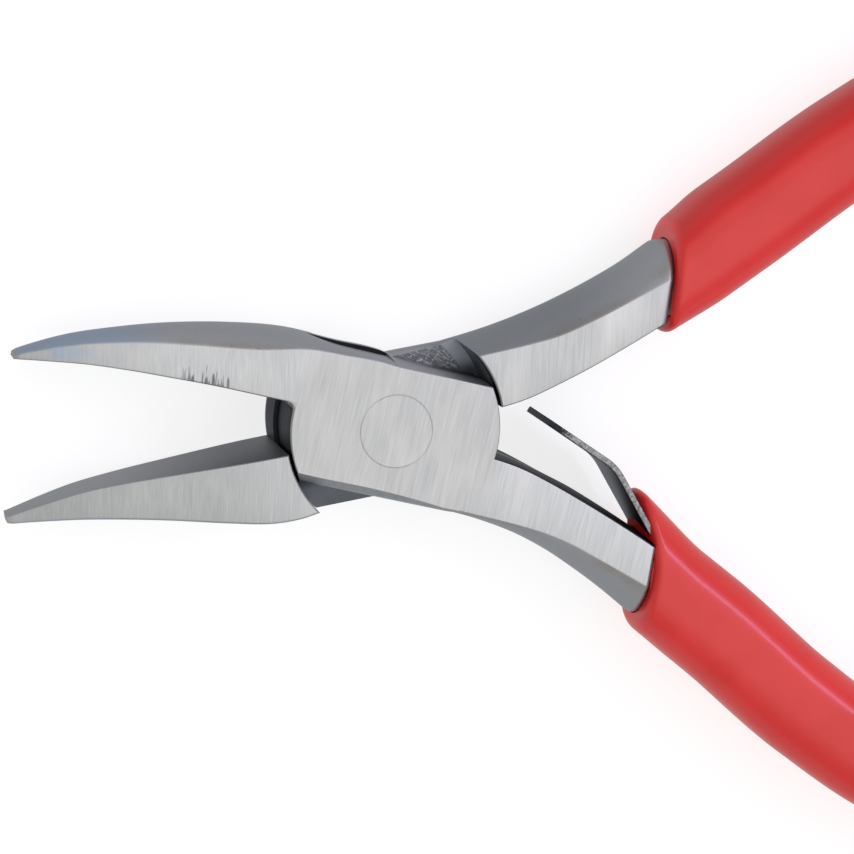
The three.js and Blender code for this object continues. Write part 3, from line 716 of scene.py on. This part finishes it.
def worn_marks(n):
    """Bright rubbed marks of two directions on the floor of the joint, uneven in size and in place."""
    long_marks = n.step(n.noise(0.12, 4, (1, 9, 1), 0.9, 0.7, 0.03), 0.50, 0.66)
    short_marks = n.step(n.noise(0.22, 4, (1, 2.5, 1), 2.3, 0.75, 0.06), 0.53, 0.68)
    patch = n.step(n.noise(1.8, 3, (1, 1, 1), 0, 0.6, 0.012), 0.36, 0.52)
    away_from_ring = n.step(n.radius(), UNDERCUT_RADIUS + 0.1, UNDERCUT_RADIUS - 0.1)
    return n.both(n.either(long_marks, short_marks), patch, away_from_ring)


def round_side(n, jaw_side, grain, cloud):
    """A forging's round sides: brown and specked next to the creases, with a painted bluish reflection near
    the jaw's tip and painted shade along the shank.
    """
    specks = n.step(n.noise(0.2, 3, (1, 1, 1), 0, 0.6, 0.09), 0.62, 0.70)
    near_crease = n.both(n.step(n.math("ABSOLUTE", n.facing_z), 0.45, 0.85), n.step(cloud, 0.35, 0.65))
    outward = n.math("MULTIPLY", n.facing_y, jaw_side)
    blue_reflection = n.both(n.step(n.x, -19.0, -26.0), n.step(outward, 0.1, 0.5))
    in_shade = n.both(n.step(n.facing_y, 0.1, 0.4), n.step(n.x, 4.0, 8.0), n.step(n.x, 26.0, 15.0))
    side = n.mix(grain, (0.43, 0.44, 0.455), (0.53, 0.54, 0.555))
    side = n.mix(n.math("MULTIPLY", near_crease, 0.85), side, (0.42, 0.39, 0.345))
    side = n.mix(n.math("MULTIPLY", blue_reflection, 0.8), side, BLUE_REFLECTION_SIDE)
    side = n.mix(n.math("MULTIPLY", n.both(specks, near_crease), 0.7), side, (0.10, 0.10, 0.11))
    return n.mix(in_shade, side, n.mix(1.0, side, (0.74, 0.75, 0.77), "MULTIPLY"))


def inner_side(n, side, jaw_side, cloud):
    """Paints shade on the sides that face the other half: darker along the jaw, nearly black along the
    handle, dark by the joint.
    """
    jaw_inward = n.math("MULTIPLY", n.facing_y, -jaw_side)
    on_jaw = n.both(n.step(jaw_inward, 0.5, 0.9), n.step(n.x, -8.5, -9.5))
    darker = n.mix(n.step(n.x, -26.0, -11.0), side, n.mix(0.62, side, (0.06, 0.065, 0.07)))
    side = n.mix(on_jaw, side, darker)
    handle_inward = n.math("MULTIPLY", n.facing_y, jaw_side)
    on_handle = n.both(n.step(handle_inward, 0.45, 0.8), n.step(n.x, 7.0, 9.0))
    # Painted highlight: a lighter line at the parting, within the handle's painted shade.
    parting_highlight = n.both(n.step(n.z, MID - 1.5, MID - 1.0), n.step(n.z, MID - 0.2, MID - 0.6))
    black = n.mix(cloud, (0.012, 0.013, 0.016), (0.035, 0.038, 0.044))
    side = n.mix(on_handle, side, n.mix(parting_highlight, black, (0.24, 0.27, 0.31)))
    shaded = n.both(n.step(handle_inward, 0.2, 0.5), n.step(n.x, -1.0, 6.0), n.step(n.x, 9.3, 9.0),
                    n.step(n.math("ABSOLUTE", n.math("SUBTRACT", n.z, LAP_HEIGHT)), 2.6, 1.4))
    return n.mix(n.math("MULTIPLY", shaded, 0.8), side, (0.05, 0.052, 0.058))


def floor_tone(n, cloud):
    """The joint's floors: own dark tone plus painted shade, nearly black between the jaws; on the other side
    rubbed, with a ring of painted light.
    """
    crotch = n.both(n.step(n.x, -5.5, -6.5), n.step(n.y, -5.0, -4.0))
    recess = n.both(n.step(n.x, 0.0, 1.5), n.step(n.y, 2.5, 4.0))
    ring = n.both(recess, n.step(n.radius(), UNDERCUT_RADIUS - 0.02, UNDERCUT_RADIUS + 0.02))
    floor = n.mix(cloud, (0.075, 0.083, 0.095), (0.17, 0.18, 0.2))
    # Painted shade: the floor between the jaws is nearly black.
    floor = n.mix(crotch, floor, n.mix(cloud, (0.03, 0.033, 0.04), (0.07, 0.076, 0.088)))
    floor = n.mix(recess, floor, n.mix(worn_marks(n), (0.18, 0.19, 0.21), (0.62, 0.63, 0.65)))
    # Painted light: a lighter ring where the rear plate's undercut lies.
    return n.mix(ring, floor, n.mix(cloud, (0.36, 0.39, 0.43), (0.48, 0.51, 0.56)))


def wall_tone(n, cloud, lower):
    """The joint's walls: painted shade, nearly black and blackest near the face; painted light on the
    handle's side of the lower half.
    """
    wall = n.mix(cloud, (0.018, 0.018, 0.022), (0.05, 0.052, 0.062))
    lit = n.math("MULTIPLY", n.step(n.x, 0.0, 2.0), lower)
    wall = n.mix(lit, wall, n.mix(cloud, (0.27, 0.29, 0.32), (0.42, 0.44, 0.47)))
    return n.mix(n.step(n.z, THICKNESS - 1.7, THICKNESS - 0.8), wall, NEAR_BLACK)


def steel(name, turn, jaw_side, marks, tone, gains, plate_radius, shoulder_radius):
    """Forged steel: bright ground faces, duller round sides, and painted shade on the joint's nearly black
    walls and floors.

    `jaw_side` is 1 for the half with the upper jaw and -1 for the other one.
    """
    n = Nodes(name, turn)
    upper = (1 + jaw_side) / 2
    grain = n.noise(0.3, 4, (1, 1, 1), 0, 0.7, 0.04)
    cloud = n.noise(4, 3, (2, 1, 1), 0, 0.5, 0.07)
    face, face_roughness, lines = ground_steel(n, *marks, tone, *gains)
    tint = n.noise(1.3, 2, (2, 1, 1), 0, 0.5, 0.03)
    # Painted reflection: bluish patches on the upper jaw's face near its tip.
    blue_reflection_patches = n.both(n.step(n.x, -22.5, -30.0), n.step(tint, 0.38, 0.58))
    face = n.mix(n.math("MULTIPLY", blue_reflection_patches, 0.6 * upper), face, BLUE_REFLECTION_FACE)

    side = inner_side(n, round_side(n, jaw_side, grain, cloud), jaw_side, cloud)
    on_bevel = n.both(n.step(n.facing_z, 0.68, 0.74), n.step(n.y, -4.6, -4.8), n.step(n.x, 9.5, 8.5))
    bevel_tone = n.mix(lines, (0.36, 0.37, 0.375), (0.5, 0.51, 0.52))
    side = n.mix(n.math("MULTIPLY", on_bevel, upper), side, bevel_tone)

    radius = n.radius()
    level = n.step(n.math("ABSOLUTE", n.facing_z), 0.955, 0.985)
    sunk = n.both(n.step(n.z, 0.25, 0.4), n.step(n.z, THICKNESS - 0.25, THICKNESS - 0.4))
    joint_floor = n.both(level, sunk, n.step(radius, shoulder_radius + 0.15, shoulder_radius + 0.05))
    along = n.math("ADD", n.math("MULTIPLY", n.facing_x, n.x), n.math("MULTIPLY", n.facing_y, n.y))
    radial = n.math("DIVIDE", n.math("ABSOLUTE", along), radius)
    at_wall = n.both(n.step(radius, plate_radius - 0.12, plate_radius - 0.06), n.step(radial, 0.8, 0.95),
                     n.step(radius, shoulder_radius + 0.14, shoulder_radius + 0.06))
    joint_wall = n.both(n.math("SUBTRACT", 1.0, level), sunk, at_wall)
    on_ledge = n.both(n.step(n.y, 5.2, 5.4), n.step(n.x, -8.8, -8.0), n.step(n.x, -1.0, -1.2),
                      n.step(n.z, LEDGE_HEIGHT + 0.1, LEDGE_HEIGHT + 0.05),
                      n.step(n.z, LEDGE_HEIGHT - 0.1, LEDGE_HEIGHT - 0.05))

    ground = n.math("SUBTRACT", level, joint_floor)
    colour = n.mix(ground, side, face)
    colour = n.mix(joint_floor, colour, floor_tone(n, cloud))
    colour = n.mix(joint_wall, colour, wall_tone(n, cloud, 1 - upper))
    # Painted shade: the narrow ledge in the front plate's side is nearly black.
    colour = n.mix(n.math("MULTIPLY", on_ledge, upper), colour, (0.02, 0.021, 0.025))
    roughness = n.blend(ground, n.blend(grain, 0.42, 0.58), face_roughness)
    n.metal(colour, roughness, n.blend(ground, n.math("MULTIPLY", grain, 0.6), lines))
    return n


def wear_streaks(n):
    """Dark bundles of streaks that rise from the gripping edge of the upper jaw."""
    height = n.math("SUBTRACT", n.y, 0.35)
    streak = n.noise(0.2, 2, (1, 14, 1), -UPPER_TURN, 0.6, 0.017)
    faded = n.math("SUBTRACT", streak, n.math("MULTIPLY", height, 0.13))
    where = n.both(n.step(n.x, -19.3, -17.6), n.step(n.x, -14.0, -15.0), n.step(n.facing_z, 0.9, 0.97))
    dark = n.both(n.step(faded, 0.40, 0.50), where, n.step(height, 1.9, 1.2))
    colour = n.shader.inputs["Base Color"].links[0].from_socket
    n.link(n.mix(n.math("MULTIPLY", dark, 0.72), colour, (0.055, 0.05, 0.055)), "Base Color")


def rivet_steel():
    n = Nodes("rivet_steel_look", UPPER_TURN)
    n.metal(*ground_steel(n, 0.0, 0.0, UPPER_TONE))
    return n.material


def spring_steel():
    """Bright rolled edges and dark faces, with painted shade darkest at the free tip."""
    n = Nodes("spring_steel_look", UPPER_TURN)
    grain = n.noise(0.18, 3, (1, 1, 1), 0, 0.65, 0.02)
    edge = n.mix(n.step(grain, 0.3, 0.7), (0.12, 0.12, 0.115), (0.42, 0.42, 0.405))
    flat = n.mix(grain, (0.085, 0.085, 0.11), (0.16, 0.16, 0.20))
    on_edge = n.step(n.math("ABSOLUTE", n.facing_z), 0.6, 0.9)
    uneven_x = n.math("ADD", n.x, n.math("MULTIPLY", grain, 2.4))
    # Painted shade: the free tip is nearly black.
    tip = n.step(uneven_x, STRIP_TIP[0] + 3.6, STRIP_TIP[0] + 2.4)
    colour = n.mix(on_edge, flat, edge)
    n.link(n.mix(tip, colour, (0.022, 0.027, 0.032)), "Base Color")
    n.link(n.blend(grain, 0.3, 0.5), "Roughness")
    n.shader.inputs["Metallic"].default_value = 1.0
    return n.material


def sleeve_vinyl():
    """Soft glossy red, with painted shade: a deeper red on the upper grip's outer side and dark in the lower
    grip's mouth.
    """
    n = Nodes("sleeve_vinyl_look")
    cloud = n.noise(6, 3, (1, 1, 1), 0, 0.5, 0.022)
    speck = n.noise(0.35, 3, (1, 1, 1), 0, 0.6, 0.055)
    colour = n.mix(n.step(cloud, 0.3, 0.7), (0.73, 0.024, 0.020), (0.79, 0.030, 0.027))
    # Painted shade: the upper grip's outer side is a deeper red.
    outer_side = n.both(n.step(n.facing_y, 0.25, 0.85), n.step(n.y, 0.0, 4.0))
    colour = n.mix(outer_side, colour, (0.56, 0.010, 0.008))
    # Painted shade: the lower grip's mouth is nearly black inside.
    inside = n.both(n.step(n.facing_z, 0.0, 0.3), n.step(n.z, 2.5, 1.5), n.step(n.radius(), 24.6, 25.2))
    n.link(n.mix(inside, colour, (0.03, 0.004, 0.004)), "Base Color")
    n.link(n.blend(speck, 0.26, 0.38), "Roughness")
    n.shader.inputs["Specular IOR Level"].default_value = 0.42
    n.shader.inputs["Coat Weight"].default_value = 0.3
    n.shader.inputs["Coat Roughness"].default_value = 0.1
    bump = n.add("ShaderNodeBump", {"Strength": 0.1, "Distance": 0.00002, "Height": speck})
    n.link(bump.outputs[0], "Normal")
    return n.material


# ------------------------------------------------------------------------------------------- pieces

upper_look = steel(
    "upper_half_steel", UPPER_TURN, 1, (0.0, -UPPER_TURN), UPPER_TONE, (1.12, 0.84),
    FRONT_LAP_RADIUS, REAR_LAP_RADIUS + SHOULDER_GAP,
)
wear_streaks(upper_look)
lower_look = steel(
    "lower_half_steel", LOWER_TURN, -1, (-LOWER_TURN, -LOWER_TURN), LOWER_TONE, (0.95, 0.82),
    REAR_LAP_RADIUS, FRONT_LAP_RADIUS + SHOULDER_GAP,
)
UPPER_STEEL = upper_look.material
LOWER_STEEL = lower_look.material
RIVET_STEEL = rivet_steel()
SPRING_STEEL = spring_steel()
VINYL = sleeve_vinyl()


def place(name, mesh, turn, material, body, slot, node, smooth_angle=30):
    """Puts a finished mesh on a body of the frame, in place of one CAD node."""
    piece = make_object(name, mesh, turn, material, smooth_angle)
    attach(piece, body)
    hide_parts(node)


place(
    "upper_half", upper_half_mesh(), UPPER_TURN, UPPER_STEEL,
    "spring_half", "forged_steel", "upper_jaw_half",
)
place(
    "lower_half", lower_half_mesh(), LOWER_TURN, LOWER_STEEL,
    "plain_half", "forged_steel", "lower_jaw_half",
)
place(
    "upper_sleeve", upper_grip_mesh(), LOWER_TURN, VINYL,
    "plain_half", "red_sleeve", "upper_grip", smooth_angle=40,
)
place(
    "lower_sleeve", lower_grip_mesh(), UPPER_TURN, VINYL,
    "spring_half", "red_sleeve", "lower_grip", smooth_angle=40,
)
pivot = turned_solid([(0, 0), (PIVOT_RADIUS, 0), (PIVOT_RADIUS, THICKNESS), (0, THICKNESS)])
place(
    "pivot", mesh_of("pivot", pivot), UPPER_TURN, RIVET_STEEL,
    "spring_half", "rivet_steel", "pivot_rivet",
)

strip = make_object("spring_strip", strip_mesh(), UPPER_TURN, SPRING_STEEL, 40)
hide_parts("leaf_spring", "leaf_spring_foot")


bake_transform(strip)
for material_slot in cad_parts["spring_rivet"].material_slots:
    material_slot.material = RIVET_STEEL


# ------------------------------------------------------------------------------- stage, light, camera


def pale_floor():
    """A plain, nearly white ground under the tool."""
    mesh = bpy.data.meshes.new("floor")
    size = 1.5
    corners = [(-size, -size, 0), (size, -size, 0), (size, size, 0), (-size, size, 0)]
    mesh.from_pydata(corners, [], [(0, 1, 2, 3)])
    floor = bpy.data.objects.new("floor", mesh)
    bpy.context.collection.objects.link(floor)
    floor.location.z = -0.0002
    n = Nodes("floor_look")
    cloud = n.noise(120, 2, (1, 1, 1), 0, 0.5, 0.5)
    n.link(n.mix(cloud, (0.36, 0.36, 0.36), (0.38, 0.38, 0.38)), "Base Color")
    n.shader.inputs["Roughness"].default_value = 0.9
    n.shader.inputs["Specular IOR Level"].default_value = 0.1
    n.shader.inputs["Emission Color"].default_value = (1, 1, 1, 1)
    n.shader.inputs["Emission Strength"].default_value = 0.75
    mesh.materials.append(n.material)
    floor.visible_glossy = False


def soft_light(name, location, target, size_x, size_y, power, colour=(1, 1, 1)):
    light = bpy.data.lights.new(name, "AREA")
    light.shape = "RECTANGLE"
    light.size = size_x
    light.size_y = size_y
    light.energy = power
    light.color = colour
    lamp = bpy.data.objects.new(name, light)
    bpy.context.collection.objects.link(lamp)
    lamp.location = location
    lamp.rotation_euler = (Vector(target) - Vector(location)).to_track_quat("-Z", "Y").to_euler()


def studio():
    """A soft room whose brightness changes only with height."""
    world = bpy.data.worlds.new("studio")
    bpy.context.scene.world = world
    world.use_nodes = True
    tree = world.node_tree
    direction = tree.nodes.new("ShaderNodeTexCoord").outputs["Generated"]
    split = tree.nodes.new("ShaderNodeSeparateXYZ")
    tree.links.new(direction, split.inputs[0])
    upward = tree.nodes.new("ShaderNodeMapRange")
    upward.inputs["From Min"].default_value = -1.0
    tree.links.new(split.outputs["Z"], upward.inputs["Value"])
    ramp = tree.nodes.new("ShaderNodeValToRGB")
    tree.links.new(upward.outputs["Result"], ramp.inputs["Fac"])
    elements = ramp.color_ramp.elements
    while len(elements) < len(SKY):
        elements.new(0.5)
    for element, (position, colour) in zip(elements, SKY):
        element.position = position
        element.color = (*colour, 1)
    tree.links.new(ramp.outputs["Color"], tree.nodes["Background"].inputs["Color"])
    tree.nodes["Background"].inputs["Strength"].default_value = 1.0


def photo_camera():
    data = bpy.data.cameras.new("camera")
    data.sensor_width = 36
    data.lens = CAMERA_LENS
    data.clip_start = 0.01
    data.clip_end = 10
    camera = bpy.data.objects.new("camera", data)
    bpy.context.collection.objects.link(camera)
    forward = Vector(CAMERA_FORWARD).normalized()
    right = forward.cross(Vector(CAMERA_UPWARD)).normalized()
    up = right.cross(forward)
    turn = Matrix((right, up, -forward)).transposed().to_4x4()
    camera.matrix_world = Matrix.Translation(Vector(CAMERA_PLACE)) @ turn
    bpy.context.scene.camera = camera


pale_floor()
studio()
soft_light("key", (0.28, -0.10, 0.62), (0.02, 0, 0), 0.5, 0.5, 0.25)
soft_light("strip", (0.43, 0.25, 0.48), (0.04, -0.03, 0), 0.6, 0.10, 1.25, (0.74, 0.64, 1.0))
photo_camera()
bpy.context.scene.view_settings.view_transform = "Standard"
bpy.context.scene.view_settings.look = "None"
